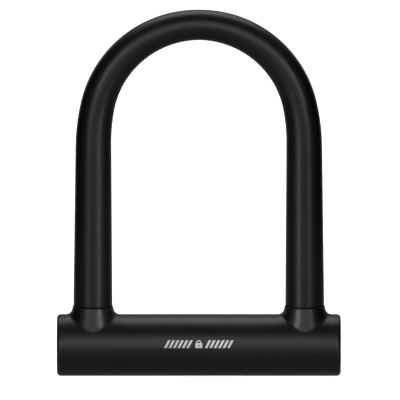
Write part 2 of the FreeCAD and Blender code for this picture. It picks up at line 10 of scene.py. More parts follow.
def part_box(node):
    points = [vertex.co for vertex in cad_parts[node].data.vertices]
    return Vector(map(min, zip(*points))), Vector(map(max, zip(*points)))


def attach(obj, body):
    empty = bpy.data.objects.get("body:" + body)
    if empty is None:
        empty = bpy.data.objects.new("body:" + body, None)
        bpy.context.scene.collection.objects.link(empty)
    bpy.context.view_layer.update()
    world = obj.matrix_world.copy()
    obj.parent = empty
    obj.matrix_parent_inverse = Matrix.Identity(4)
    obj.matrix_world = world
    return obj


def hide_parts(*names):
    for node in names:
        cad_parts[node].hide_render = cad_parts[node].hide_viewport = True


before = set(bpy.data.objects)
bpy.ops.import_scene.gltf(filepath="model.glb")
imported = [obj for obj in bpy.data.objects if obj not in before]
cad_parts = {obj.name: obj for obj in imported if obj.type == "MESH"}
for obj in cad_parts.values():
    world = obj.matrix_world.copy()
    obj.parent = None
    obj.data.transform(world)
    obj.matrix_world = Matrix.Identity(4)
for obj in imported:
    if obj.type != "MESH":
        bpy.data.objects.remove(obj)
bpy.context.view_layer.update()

bl_info = {
    "name": "U Lock Looks",
    "version": (1, 0, 0),
    "blender": (4, 5, 0),
    "location": "View3D > Sidebar > U Lock",
    "description": "Models the moulded skins of a bicycle U lock and gives every piece its finish",
    "category": "Object",
}

MM = 0.001


BAR_LOW, BAR_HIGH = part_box("shackle_bar")
SLEEVE_LOW, SLEEVE_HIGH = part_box("shackle_sleeve")
COVER_LOW, COVER_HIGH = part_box("crossbar_cover")
SEAL_LOW, SEAL_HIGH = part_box("leg_seal_right")
CAP_LOW, CAP_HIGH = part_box("end_cap_right")
CROSSBAR_R = (COVER_HIGH.y - COVER_LOW.y) / 2
AXIS_Z = COVER_LOW.z + CROSSBAR_R
LEG_X = (SEAL_LOW.x + SEAL_HIGH.x) / 2
BAR_R = (BAR_HIGH.y - BAR_LOW.y) / 2

# The sleeve: its rings up one leg to the top of the bend, its open end and its parting line.
LEG_RINGS = 12
SHOULDER_RINGS = 5
BEND_RINGS = 26
LIP_RINGS = 5
BORE_DEPTH = 3 * MM
BORE_CHAMFER = 0.4 * MM
PARTING_HALF_WIDTH = 0.22 * MM

# The end cap: its face from the rim inwards, its spigot and the broken edge at the cover.
CAP_RIM_WIDTH = 2.6 * MM
CAP_GROOVE_WIDTH = 0.5 * MM
CAP_DISH = 0.45 * MM
CAP_FACE_WIDTH = 9.2 * MM
CAP_CROWN = 0.12 * MM
CAP_DIMPLE_WIDTH = 0.3 * MM
CAP_DIMPLE = 0.25 * MM
CAP_DIMPLE_FLOOR = 0.2 * MM
CAP_SHARP_LINE = 0.25 * MM
SPIGOT_SHOULDER = 2.5 * MM
SPIGOT_LENGTH = 2.1 * MM
SPIGOT_STEP = 12.0 * MM
CAP_BACK_BEVEL = 0.25 * MM

TINY = 1e-6
FLAT = 0.99
WELD = 0.01 * MM
WELD_COPY = 0.002 * MM


# ---------------------------------------------------------------- settings

class LockSizes(bpy.types.PropertyGroup):
    """Sizes of the modelled pieces."""

    sleeve_end_radius: FloatProperty(
        name="Sleeve end radius", description="Radius of the sleeve where it meets the collar",
        default=(SLEEVE_HIGH.y - SLEEVE_LOW.y) / 2, unit="LENGTH")
    sleeve_leg_radius: FloatProperty(
        name="Sleeve leg radius", description="Radius of the sleeve at the top of a leg",
        default=10.85 * MM, unit="LENGTH")
    sleeve_ease_radius: FloatProperty(
        name="Sleeve shoulder radius", description="Radius of the sleeve where the main bend starts",
        default=10.4 * MM, unit="LENGTH")
    sleeve_top_radius: FloatProperty(
        name="Sleeve top radius", description="Radius of the sleeve at the top of the bend",
        default=9.2 * MM, unit="LENGTH")
    bend_radius: FloatProperty(
        name="Bend radius", description="Centreline radius over the top of the bend",
        default=62.6 * MM, unit="LENGTH")
    ease_radius: FloatProperty(
        name="Shoulder arc radius", description="Centreline radius of the easing arc above each leg",
        default=118 * MM, unit="LENGTH")
    ease_angle: FloatProperty(
        name="Shoulder angle", description="How far the easing arc turns",
        default=math.radians(12), subtype="ANGLE")
    end_rounding: FloatProperty(
        name="Sleeve lip rounding", description="Rounding of the sleeve's end",
        default=0.35 * MM, unit="LENGTH")
    parting_height: FloatProperty(
        name="Parting line height", description="How far the mould's parting line stands proud",
        default=0.07 * MM, unit="LENGTH")
    cap_rounding: FloatProperty(
        name="End cap rounding", description="Rounding of an end cap's rim",
        default=2.4 * MM, unit="LENGTH")
    round_steps: IntProperty(
        name="Steps around", description="Faces around the sleeve and the end caps",
        default=96, min=24, max=256)


class LockFinishes(bpy.types.PropertyGroup):
    """Colours of the finishes."""

    moulded_black: FloatVectorProperty(
        name="Moulded black", description="Soft moulded skin of shackle and cross bar",
        default=(0.004, 0.004, 0.0042), size=3, subtype="COLOR", min=0, max=1)
    cap_black: FloatVectorProperty(
        name="Cap black", description="Harder plastic of end caps and keyhole plate",
        default=(0.008, 0.008, 0.0085), size=3, subtype="COLOR", min=0, max=1)
    rubber: FloatVectorProperty(
        name="Rubber", description="Seals and pads",
        default=(0.012, 0.012, 0.012), size=3, subtype="COLOR", min=0, max=1)
    steel: FloatVectorProperty(
        name="Steel", description="Hardened and ground steel",
        default=(0.5, 0.5, 0.515), size=3, subtype="COLOR", min=0, max=1)
    brass: FloatVectorProperty(
        name="Brass", description="Cylinder brass",
        default=(0.66, 0.47, 0.2), size=3, subtype="COLOR", min=0, max=1)
    cast_metal: FloatVectorProperty(
        name="Cast metal", description="Zinc casting of the lock carrier",
        default=(0.42, 0.43, 0.44), size=3, subtype="COLOR", min=0, max=1)
    print_grey: FloatVectorProperty(
        name="Print grey", description="Ink of the mark on the front",
        default=(0.66, 0.66, 0.67), size=3, subtype="COLOR", min=0, max=1)


class LockStudio(bpy.types.PropertyGroup):
    """Floor, lights and camera."""

    floor: FloatVectorProperty(
        name="Floor", description="Colour of the floor",
        default=(0.93, 0.93, 0.93), size=3, subtype="COLOR", min=0, max=1)
    elevation: FloatProperty(
        name="Camera elevation", description="How far the camera looks down",
        default=math.radians(10), subtype="ANGLE")
    distance: FloatProperty(
        name="Camera distance", description="From the camera to the middle of the lock",
        default=9.0, unit="LENGTH")
    frame_width: FloatProperty(
        name="Framed width", description="Width seen at the lock",
        default=242.3 * MM, unit="LENGTH")


def settings():
    """The lock's sizes, finishes and studio."""
    scene = bpy.context.scene
    return scene.lock_sizes, scene.lock_finishes, scene.lock_studio


# ---------------------------------------------------------------- modelling helpers

def deselect_all():
    """Leaves nothing selected."""
    for piece in bpy.context.selected_objects:
        piece.select_set(False)


def only(piece):
    """Makes one object the selected and active one."""
    deselect_all()
    piece.select_set(True)
    bpy.context.view_layer.objects.active = piece


def between(low, high, share):
    """The value that lies a share of the way from low to high."""
    return low + (high - low) * share


def pick(piece, faces=None, edges=None):
    """Selects only the faces or edges that pass a test, and ends in edit mode."""
    bpy.ops.object.mode_set(mode="EDIT")
    bpy.ops.mesh.select_mode(type="FACE" if faces else "EDGE")
    bpy.ops.mesh.select_all(action="DESELECT")
    bpy.ops.object.mode_set(mode="OBJECT")
    mesh = piece.data
    if faces:
        for face in mesh.polygons:
            face.select = faces(face)
    else:
        for edge in mesh.edges:
            a, b = (mesh.vertices[i].co for i in edge.vertices)
            edge.select = edges(a, b)
    bpy.ops.object.mode_set(mode="EDIT")


def finish_piece(piece, name, body, finish, node, smooth=35):
    """Names a piece, shades it, gives it its finish and lets it ride on its body for its CAD node."""
    if bpy.context.mode != "OBJECT":
        bpy.ops.object.mode_set(mode="OBJECT")
    only(piece)
    bpy.ops.object.transform_apply(location=True, rotation=True, scale=True)
    bpy.ops.object.shade_smooth_by_angle(angle=math.radians(smooth))
    weighted = piece.modifiers.new("large faces lead", "WEIGHTED_NORMAL")
    weighted.keep_sharp = True
    bpy.ops.object.modifier_apply(modifier=weighted.name)
    piece.name = name
    piece.data.name = name
    piece.data.materials.clear()
    piece.data.materials.append(finish)
    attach(piece, body)
    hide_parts(node)
    deselect_all()


def copy_of(node):
    """A merged copy of a CAD node's mesh, free to be worked on."""
    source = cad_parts[node]
    piece = bpy.data.objects.new(node + "_copy", source.data.copy())
    bpy.context.scene.collection.objects.link(piece)
    only(piece)
    bpy.ops.object.mode_set(mode="EDIT")
    bpy.ops.mesh.select_mode(type="VERT")
    bpy.ops.mesh.select_all(action="SELECT")
    bpy.ops.mesh.remove_doubles(threshold=WELD_COPY)
    bpy.ops.mesh.dissolve_limited(angle_limit=math.radians(0.4))
    bpy.ops.object.mode_set(mode="OBJECT")
    return piece


def soften_edges(piece, width):
    """Rounds every edge sharper than 40 degrees a little, as a moulded or deburred piece has it."""
    only(piece)
    bevel = piece.modifiers.new("soft edges", "BEVEL")
    bevel.width = width
    bevel.segments = 2
    bevel.limit_method = "ANGLE"
    bevel.angle_limit = math.radians(40)
    bevel.use_clamp_overlap = True
    bpy.ops.object.modifier_apply(modifier=bevel.name)
    return piece


# ---------------------------------------------------------------- material helpers

class Nodes:
    """Adds nodes to one tree, in columns from left to right."""

    def __init__(self, tree):
        self.tree = tree
        self.column = 0

    def add(self, kind, values=None, **options):
        node = self.tree.nodes.new(kind)
        node.location = (self.column * 180, 0)
        self.column += 1
        for key, value in options.items():
            setattr(node, key, value)
        for key, value in (values or {}).items():
            socket = node.inputs[key]
            if isinstance(value, bpy.types.NodeSocket):
                self.tree.links.new(value, socket)
            else:
                socket.default_value = value
        return node

    def math(self, operation, a, b=0.0, clamp=False):
        """One arithmetic step."""
        return self.add("ShaderNodeMath", {0: a, 1: b}, operation=operation, use_clamp=clamp).outputs[0]

    def noise(self, where, scale, detail=3.0, rough=0.5):
        """Soft random pattern; the scale counts its patches in a metre."""
        values = {"Vector": where, "Scale": scale, "Detail": detail, "Roughness": rough}
        return self.add("ShaderNodeTexNoise", values).outputs["Fac"]

    def remap(self, value, low, high, to_low=0.0, to_high=1.0):
        """Stretches low to high onto another range, and clamps what lies outside."""
        values = {"Value": value, "From Min": low, "From Max": high, "To Min": to_low, "To Max": to_high}
        return self.add("ShaderNodeMapRange", values).outputs["Result"]

    def stretch(self, where, scale):
        """Coordinates scaled by a factor for each axis."""
        return self.add("ShaderNodeMapping", {"Vector": where, "Scale": scale}).outputs["Vector"]

    def mix(self, factor, a, b):
        """Blends two colours."""
        node = self.add("ShaderNodeMix", data_type="RGBA")
        for socket, value in ((node.inputs[0], factor), (node.inputs[6], a), (node.inputs[7], b)):
            if isinstance(value, bpy.types.NodeSocket):
                self.tree.links.new(value, socket)
            else:
                socket.default_value = value
        return node.outputs[2]


def effect(name, inputs, outputs):
    """A new shader node group with the given sockets; returns its Nodes and its input node."""
    tree = bpy.data.node_groups.new(name, "ShaderNodeTree")
    for title, kind, default in inputs:
        socket = tree.interface.new_socket(name=title, in_out="INPUT", socket_type=kind)
        if default is not None:
            socket.default_value = default
    for title, kind in outputs:
        tree.interface.new_socket(name=title, in_out="OUTPUT", socket_type=kind)
    nodes = Nodes(tree)
    return nodes, nodes.add("NodeGroupInput")


def close_effect(nodes, results):
    """Links the results to the group's outputs and returns the group."""
    end = nodes.add("NodeGroupOutput")
    for title, socket in results.items():
        nodes.tree.links.new(socket, end.inputs[title])
    return nodes.tree


def moulded_grain_effect():
    """Spark-eroded mould texture: a fine pebble, a slower swell and a patchy sheen."""
    n, start = effect(
        "Moulded grain",
        [("Where", "NodeSocketVector", None), ("Grain Size", "NodeSocketFloat", 0.5 * MM)],
        [("Height", "NodeSocketFloat"), ("Patches", "NodeSocketFloat")])
    where = start.outputs["Where"]
    scale = n.math("DIVIDE", 1.0, start.outputs["Grain Size"])
    pebble = n.add("ShaderNodeTexVoronoi", {"Vector": where, "Scale": scale}, feature="SMOOTH_F1")
    fine = n.noise(where, n.math("MULTIPLY", scale, 1.7), 2.0)
    swell = n.noise(where, 45.0, 2.0)
    coarse = n.math("MULTIPLY", pebble.outputs["Distance"], 0.6)
    height = n.math("ADD", coarse, n.math("MULTIPLY", fine, 0.5))
    height = n.math("ADD", height, n.math("MULTIPLY", swell, 0.6))
    patches = n.noise(where, 28.0, 5.0, 0.62)
    return close_effect(n, {"Height": height, "Patches": patches})


def scuffs_effect():
    """Fine handling marks: short streaks that cross in two directions, in a few patches."""
    n, start = effect(
        "Handling scuffs",
        [("Where", "NodeSocketVector", None), ("Amount", "NodeSocketFloat", 0.5)],
        [("Mask", "NodeSocketFloat")])
    where = start.outputs["Where"]
    first = n.noise(n.stretch(where, (90, 1500, 1300)), 1.0, 3.0, 0.6)
    second = n.noise(n.stretch(where, (1400, 1100, 80)), 1.0, 3.0, 0.6)
    streaks = n.math("MAXIMUM", n.remap(first, 0.66, 0.76), n.remap(second, 0.68, 0.78))
    places = n.remap(n.noise(where, 38.0, 3.0), 0.52, 0.68)
    mask = n.math("MULTIPLY", n.math("MULTIPLY", streaks, places), start.outputs["Amount"])
    return close_effect(n, {"Mask": mask})


def dust_effect():
    """Dust that settles where the surface looks up."""
    n, start = effect(
        "Settled dust",
        [("Where", "NodeSocketVector", None), ("Amount", "NodeSocketFloat", 0.5)],
        [("Mask", "NodeSocketFloat")])
    where = start.outputs["Where"]
    geometry = n.add("ShaderNodeNewGeometry")
    up = n.add("ShaderNodeSeparateXYZ", {"Vector": geometry.outputs["Normal"]}).outputs["Z"]
    specks = n.remap(n.noise(where, 2600.0, 1.0), 0.62, 0.74)
    film = n.noise(where, 120.0, 5.0, 0.65)
    cover = n.math("ADD", n.math("MULTIPLY", specks, 0.7), n.math("MULTIPLY", film, 0.35))
    settled = n.math("MULTIPLY", cover, n.remap(up, 0.15, 1.0))
    mask = n.math("MULTIPLY", settled, start.outputs["Amount"])
    return close_effect(n, {"Mask": mask})


def machined_effect():
    """Tool marks: fine lines across one axis, with a slow change in depth."""
    n, start = effect(
        "Tool marks",
        [("Where", "NodeSocketVector", None), ("Stretch", "NodeSocketVector", (60.0, 60.0, 4200.0))],
        [("Height", "NodeSocketFloat"), ("Tone", "NodeSocketFloat")])
    where = start.outputs["Where"]
    sides = {0: where, 1: start.outputs["Stretch"]}
    squeezed = n.add("ShaderNodeVectorMath", sides, operation="MULTIPLY")
    lines = n.noise(squeezed.outputs["Vector"], 1.0, 4.0, 0.6)
    cloud = n.noise(where, 70.0, 4.0)
    tone = n.math("ADD", n.math("MULTIPLY", lines, 0.55), n.math("MULTIPLY", cloud, 0.45))
    return close_effect(n, {"Height": lines, "Tone": tone})


EFFECTS = {
    "grain": moulded_grain_effect,
    "scuffs": scuffs_effect,
    "dust": dust_effect,
    "machined": machined_effect,
}


class Finish:
    """A material under way: its nodes and its object coordinates."""

    built = {}

    def __init__(self, name):
        self.material = bpy.data.materials.new(name)
        self.material.use_nodes = True
        tree = self.material.node_tree
        tree.nodes.clear()
        self.n = Nodes(tree)
        self.where = self.n.add("ShaderNodeTexCoord").outputs["Object"]

    def effect(self, name, **values):
        """Places one of the shared effects, with its own values."""
        if name not in Finish.built:
            Finish.built[name] = EFFECTS[name]()
        node = self.n.add("ShaderNodeGroup", node_tree=Finish.built[name])
        self.n.tree.links.new(self.where, node.inputs["Where"])
        for key, value in values.items():
            node.inputs[key.replace("_", " ").title()].default_value = value
        return node.outputs

    def bump(self, height, strength, distance):
        """The normal of a surface with this height over it."""
        values = {"Height": height, "Strength": strength, "Distance": distance}
        return self.n.add("ShaderNodeBump", values).outputs["Normal"]

    def close(self, **values):
        """Adds the shader with its values and returns the finished material."""
        sockets = {key.replace("_", " "): value for key, value in values.items()}
        shader = self.n.add("ShaderNodeBsdfPrincipled", sockets)
        end = self.n.add("ShaderNodeOutputMaterial")
        self.n.tree.links.new(shader.outputs["BSDF"], end.inputs["Surface"])
        return self.material


def rgba(colour, gain=1.0):
    """A colour made lighter or darker, with its alpha."""
    return tuple(min(1.0, c * gain) for c in colour) + (1.0,)


DUST_COLOUR = (0.12, 0.118, 0.112, 1.0)
PINHOLE_COLOUR = (0.05, 0.05, 0.05, 1.0)
GRAIN_DEPTH = 0.02 * MM
INK_DEPTH = 0.01 * MM
FINISHES = {}


def moulded_finish(name, colour, roughness, grain=0.5 * MM, scuffs=0.4, dust=0.25):
    """Black moulded skin or plastic: pebble grain, patchy sheen, light scuffs and a little dust."""
    f = Finish(name)
    grain_out = f.effect("grain", grain_size=grain)
    marks = f.effect("scuffs", amount=scuffs)["Mask"]
    dusty = f.effect("dust", amount=dust)["Mask"]
    tone = f.n.mix(f.n.remap(grain_out["Patches"], 0.3, 0.7), rgba(colour, 0.82), rgba(colour, 1.2))
    tone = f.n.mix(f.n.math("MULTIPLY", marks, 0.5), tone, rgba(colour, 3.2))
    tone = f.n.mix(f.n.math("MULTIPLY", dusty, 0.35), tone, DUST_COLOUR)
    rough = f.n.remap(grain_out["Patches"], 0.25, 0.75, roughness - 0.05, roughness + 0.06)
    rough = f.n.math("ADD", rough, f.n.math("MULTIPLY", marks, 0.12), clamp=True)
    normal = f.bump(grain_out["Height"], 0.45, GRAIN_DEPTH)
    return f.close(Base_Color=tone, Roughness=rough, Normal=normal, Specular_IOR_Level=0.42)


def metal_finish(name, colour, roughness, stretch, depth=0.004 * MM):
    """Machined metal: tool marks across one axis, uneven tone and handling marks."""
    f = Finish(name)
    tool = f.effect("machined", stretch=stretch)
    marks = f.effect("scuffs", amount=0.4)["Mask"]
    tone = f.n.mix(f.n.remap(tool["Tone"], 0.3, 0.7), rgba(colour, 0.86), rgba(colour, 1.08))
    tone = f.n.mix(f.n.math("MULTIPLY", marks, 0.6), tone, rgba(colour, 0.55))
    rough = f.n.remap(tool["Tone"], 0.3, 0.7, roughness - 0.04, roughness + 0.07)
    rough = f.n.math("ADD", rough, f.n.math("MULTIPLY", marks, 0.15), clamp=True)
    normal = f.bump(tool["Height"], 0.35, depth)
    return f.close(Base_Color=tone, Roughness=rough, Normal=normal, Metallic=1.0)


def print_finish(name, colour):
    """Flat ink with pinholes and a patchy tone."""
    f = Finish(name)
    grain_out = f.effect("grain", grain_size=0.35 * MM)
    holes = f.n.remap(f.n.noise(f.where, 5200.0, 2.0), 0.66, 0.72)
    tone = f.n.mix(f.n.remap(grain_out["Patches"], 0.3, 0.7), rgba(colour, 0.9), rgba(colour, 1.06))
    tone = f.n.mix(f.n.math("MULTIPLY", holes, 0.75), tone, PINHOLE_COLOUR)
    normal = f.bump(grain_out["Height"], 0.4, INK_DEPTH)
    return f.close(Base_Color=tone, Roughness=0.55, Normal=normal)


def finishes():
    """Every finish of the lock by name, built once."""
    if not FINISHES:
        _, colours, _ = settings()
        skin, plastic = colours.moulded_black, colours.cap_black
        FINISHES.update({
            "sleeve": moulded_finish("Sleeve skin", skin, 0.38),
            "cover": moulded_finish("Cross bar skin", skin, 0.38, dust=0.3),
            "cap": moulded_finish("End cap plastic", plastic, 0.36, grain=0.4 * MM, scuffs=0.8),
            "bezel": moulded_finish("Keyhole plate plastic", plastic, 0.4, grain=0.35 * MM),
            "seal": moulded_finish("Seal rubber", colours.rubber, 0.6, grain=0.3 * MM, dust=0.5),
            "guide": moulded_finish("Guide plastic", plastic, 0.32, grain=0.6 * MM, dust=0.1),
            "steel": metal_finish("Ground steel", colours.steel, 0.26, (60, 60, 4200)),
            "turned": metal_finish("Turned steel", colours.steel, 0.3, (3800, 70, 70)),
            "brass": metal_finish("Turned brass", colours.brass, 0.28, (90, 90, 4600)),
            "cast": metal_finish("Zinc casting", colours.cast_metal, 0.5, (900, 900, 900), 0.03 * MM),
            "print": print_finish("Print ink", colours.print_grey),
        })
    return FINISHES


# ---------------------------------------------------------------- pieces

def direction(angle):
    """Unit vector in the plane of the bend, turned from +X towards +Z."""
    return Vector((math.cos(angle), 0, math.sin(angle)))


class LOCK_OT_sleeve(bpy.types.Operator):
    """Models the shackle's sleeve up one leg and round the bend, then mirrors it"""
    bl_idname = "lock.sleeve"
    bl_label = "Shackle sleeve"

    def path(self, sizes):
        """Centre, turn and radius of each ring from above the sleeve's end to the top of the bend."""
        bend, ease, turn = sizes.bend_radius, sizes.ease_radius, sizes.ease_angle
        bend_z = SLEEVE_HIGH.z - sizes.sleeve_top_radius - bend
        ease_at = Vector((0, 0, bend_z)) + direction(turn) * (bend - ease)
        leg_top = ease_at + Vector((ease, 0, 0))
        foot = Vector((LEG_X, 0, SLEEVE_LOW.z))

        end_r, leg_r = sizes.sleeve_end_radius, sizes.sleeve_leg_radius
        ease_r, top_r = sizes.sleeve_ease_radius, sizes.sleeve_top_radius
        rings = []
        for k in range(1, LEG_RINGS + 1):
            share = k / LEG_RINGS
            rings.append((foot.lerp(leg_top, share), 0.0, between(end_r, leg_r, share)))
        for k in range(1, SHOULDER_RINGS + 1):
            share = k / SHOULDER_RINGS
            at = ease_at + direction(turn * share) * ease
            rings.append((at, turn * share, between(leg_r, ease_r, share)))
        for k in range(1, BEND_RINGS + 1):
            share = k / BEND_RINGS
            angle = between(turn, math.pi / 2, share)
            at = Vector((0, 0, bend_z)) + direction(angle) * bend
            rings.append((at, angle, between(ease_r, top_r, share)))
        return rings

    def lip(self, sizes):
        """Radius and height of each ring of the open end: bore, mouth and rounded outer edge."""
        r, low = sizes.end_rounding, SLEEVE_LOW.z
        outer = sizes.sleeve_end_radius
        rings = [(BAR_R, low + BORE_DEPTH), (BAR_R, low + BORE_CHAMFER), (BAR_R + BORE_CHAMFER, low),
                 (outer - r, low)]
        for k in range(1, LIP_RINGS + 1):
            angle = math.pi / 2 * k / LIP_RINGS
            rings.append((outer - r + r * math.sin(angle), low + r - r * math.cos(angle)))
        return rings

    def execute(self, context):
        sizes, _, _ = settings()
        lip = self.lip(sizes)
        start_r, start_z = lip[0]
        deselect_all()
        bpy.ops.mesh.primitive_circle_add(
            vertices=sizes.round_steps, radius=start_r, fill_type="NGON", location=(LEG_X, 0, start_z))
        sleeve = context.active_object
        bpy.ops.object.transform_apply(location=True)
        bpy.ops.object.mode_set(mode="EDIT")
        bpy.ops.mesh.select_mode(type="EDGE")
        bpy.ops.mesh.select_all(action="SELECT")
        bpy.ops.mesh.region_to_loop()
        at, lean, size = Vector((LEG_X, 0, start_z)), 0.0, start_r
        rings = [(Vector((LEG_X, 0, z)), 0.0, r) for r, z in lip[1:]] + self.path(sizes)
        for centre, angle, radius in rings:
            bpy.ops.mesh.extrude_edges_move(TRANSFORM_OT_translate={"value": centre - at})
            bpy.ops.transform.resize(value=(radius / size,) * 3, center_override=centre)
            if angle != lean:
                bpy.ops.transform.rotate(value=angle - lean, orient_axis="Y", center_override=centre)
            at, lean, size = centre, angle, radius
        bpy.ops.object.mode_set(mode="OBJECT")
        mirror = sleeve.modifiers.new("other leg", "MIRROR")
        mirror.merge_threshold = WELD
        mirror.use_clip = True
        bpy.ops.object.modifier_apply(modifier=mirror.name)
        self.parting_line(sleeve, sizes)
        bpy.ops.mesh.select_all(action="SELECT")
        bpy.ops.mesh.normals_make_consistent(inside=False)
        finish_piece(sleeve, "sleeve", "shackle", finishes()["sleeve"],
                     "shackle_sleeve", smooth=50)
        return {"FINISHED"}

    def parting_line(self, sleeve, sizes):
        """Raises the fine line that the mould's two halves leave in the plane of the bend."""
        above = SLEEVE_LOW.z + sizes.end_rounding * 0.9
        shortest = 1.5 * MM

        def on_line(a, b):
            flat = abs(a.y) < TINY and abs(b.y) < TINY
            return flat and min(a.z, b.z) > above and (a - b).length > shortest
        pick(sleeve, edges=on_line)
        bpy.ops.mesh.bevel(offset=PARTING_HALF_WIDTH, segments=2, affect="EDGES")
        pick(sleeve, edges=on_line)
        bpy.ops.transform.shrink_fatten(value=sizes.parting_height)


class LOCK_OT_cross_bar_skin(bpy.types.Operator):
    """Works up the cross bar's moulded cover with its two collars"""
    bl_idname = "lock.cross_bar_skin"
    bl_label = "Cross bar skin"

    def execute(self, context):
        cover = copy_of("crossbar_cover")
        finish_piece(cover, "cross_bar_skin", "crossbar", finishes()["cover"],
                     "crossbar_cover")
        return {"FINISHED"}


class LOCK_OT_end_caps(bpy.types.Operator):
    """Models one end cap with a dished face and copies it to the other end"""
    bl_idname = "lock.end_caps"
    bl_label = "End caps"

    def execute(self, context):
        sizes, _, _ = settings()
        outer_x, inner_x = CAP_HIGH.x, COVER_HIGH.x
        flange = outer_x - inner_x
        deselect_all()
        bpy.ops.mesh.primitive_cylinder_add(
            vertices=sizes.round_steps, radius=CROSSBAR_R, depth=flange, end_fill_type="NGON",
            location=(outer_x - flange / 2, 0, AXIS_Z), rotation=(0, math.pi / 2, 0))
        cap = context.active_object
        bpy.ops.object.transform_apply(location=True, rotation=True)
        self.outer_face(cap, outer_x, sizes.cap_rounding)
        self.spigot(cap, inner_x)
        bpy.ops.object.mode_set(mode="OBJECT")
        left = bpy.data.objects.new("left", cap.data.copy())
        context.scene.collection.objects.link(left)
        left.data.transform(Matrix.Scale(-1, 4, (1, 0, 0)))
        left.data.flip_normals()
        for piece, side in ((cap, "right"), (left, "left")):
            finish_piece(piece, "end_cap_skin_" + side, "crossbar", finishes()["cap"],
                         "end_cap_" + side)
        return {"FINISHED"}

    def outer_face(self, cap, outer_x, rounding):
        """Rounds the rim, then sinks the face and leaves a dimple in its middle."""
        pick(cap, faces=lambda f: f.normal.x > FLAT)
        bpy.ops.mesh.bevel(offset=rounding, segments=7, affect="EDGES")
        pick(cap, faces=lambda f: f.normal.x > FLAT and f.center.x > outer_x - WELD)
        bpy.ops.mesh.inset(thickness=CAP_RIM_WIDTH)
        bpy.ops.mesh.inset(thickness=CAP_GROOVE_WIDTH)
        bpy.ops.transform.translate(value=(-CAP_DISH, 0, 0))
        bpy.ops.mesh.inset(thickness=CAP_SHARP_LINE)
        bpy.ops.mesh.inset(thickness=CAP_FACE_WIDTH)
        bpy.ops.transform.translate(value=(CAP_CROWN, 0, 0))
        bpy.ops.mesh.inset(thickness=CAP_DIMPLE_WIDTH)
        bpy.ops.transform.translate(value=(-CAP_DIMPLE, 0, 0))
        bpy.ops.mesh.inset(thickness=CAP_DIMPLE_FLOOR)

    def spigot(self, cap, inner_x):
        """Draws the stepped spigot out of the back and breaks the edge that meets the cover."""
        boss_length = inner_x - CAP_LOW.x - SPIGOT_LENGTH
        pick(cap, faces=lambda f: f.normal.x < -FLAT)
        bpy.ops.mesh.inset(thickness=CAP_SHARP_LINE)
        bpy.ops.mesh.inset(thickness=SPIGOT_SHOULDER)
        bpy.ops.mesh.extrude_region_move(TRANSFORM_OT_translate={"value": (-SPIGOT_LENGTH, 0, 0)})
        bpy.ops.mesh.inset(thickness=SPIGOT_STEP)
        bpy.ops.mesh.extrude_region_move(TRANSFORM_OT_translate={"value": (-boss_length, 0, 0)})
        bpy.ops.object.mode_set(mode="OBJECT")

        def on_back_edge(a, b):
            on_plane = abs(a.x - inner_x) < TINY and abs(b.x - inner_x) < TINY
            return on_plane and min(ring_radius(a), ring_radius(b)) > CROSSBAR_R - TINY
        pick(cap, edges=on_back_edge)
        bpy.ops.mesh.bevel(offset=CAP_BACK_BEVEL, segments=2, affect="EDGES")


def ring_radius(point):
    """Distance of a point from the cross bar's axis."""
    return math.hypot(point.y, point.z - AXIS_Z)


# Body, material slot, finish and width of the softened edges of each reworked CAD node.
REWORKED = {
    "shackle_bar": ("shackle", "hardened_steel", "steel", 0.25 * MM),
    "leg_seal_left": ("crossbar", "seal_rubber", "seal", 0.15 * MM),
    "leg_seal_right": ("crossbar", "seal_rubber", "seal", 0.15 * MM),
    "leg_guide_left": ("crossbar", "guide_plastic", "guide", 0.3 * MM),
    "leg_guide_right": ("crossbar", "guide_plastic", "guide", 0.3 * MM),
    "keyhole_bezel": ("crossbar", "bezel_black", "bezel", 0.15 * MM),
    "shutter": ("shutter", "bezel_black", "bezel", 0.12 * MM),
    "bezel_screws": ("crossbar", "plain_steel", "turned", 0.1 * MM),
    "plug": ("core", "brass", "brass", 0.15 * MM),
    "cylinder_housing": ("crossbar", "brass", "brass", 0.15 * MM),
}


class LOCK_OT_small_parts(bpy.types.Operator):
    """Breaks the edges of the parts that show when the lock or its shutter is open"""
    bl_idname = "lock.small_parts"
    bl_label = "Bar, seals, guides and keyhole"

    def execute(self, context):
        for node, (body, slot_name, finish, width) in REWORKED.items():
            piece = soften_edges(copy_of(node), width)
            finish_piece(piece, node + "_finished", body, finishes()[finish], node)
        return {"FINISHED"}


# The CAD nodes that keep their shape, each with its finish.
CAD_FINISHES = {
    "crossbar_tube": "turned", "end_plug_left": "turned", "end_plug_right": "turned",
    "end_plug_pins": "turned", "foot_pad_left": "seal", "foot_pad_right": "seal",
    "carrier_base": "cast", "carrier_lid": "cast", "carrier_pins": "turned", "lid_screws": "turned",
    "bolt_left": "turned", "bolt_right": "turned", "housing_pin": "turned", "housing_cap": "brass",
    "anti_drill_plate": "steel", "detainer_discs": "brass", "disc_spacers": "steel",
    "disc_spring": "steel", "sidebar": "steel", "plug_tail": "steel", "cam": "steel",
    "drive_pins": "steel", "cam_screw": "steel", "printed_mark": "print",
}


class LOCK_OT_inner_parts(bpy.types.Operator):
    """Gives the inner parts and the printed mark their finishes"""
    bl_idname = "lock.inner_parts"
    bl_label = "Inner parts and mark"

    def execute(self, context):
        for node, finish in CAD_FINISHES.items():
            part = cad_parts[node]
            part.data.materials.clear()
            part.data.materials.append(finishes()[finish])
        return {"FINISHED"}


# ---------------------------------------------------------------- stage

MIDDLE = (0, 0, 0.11)
LEG_FOOT = (LEG_X, 0, 0.04)

# Softboxes on both sides, given for the left: name, place, target, size, watts and spread in degrees.
SIDE_LIGHTS = (
    ("window", (-0.47, -0.76, 0.2), (0.216, 0, 0.09), (0.16, 0.9), 0.33, 46),
    ("collar card", (-0.49, -0.72, 0.33), LEG_FOOT, (0.12, 0.3), 0.024, 14),
    ("rear window", (-0.6, 0.9, 0.3), MIDDLE, (0.25, 0.9), 0.12, 90),
)

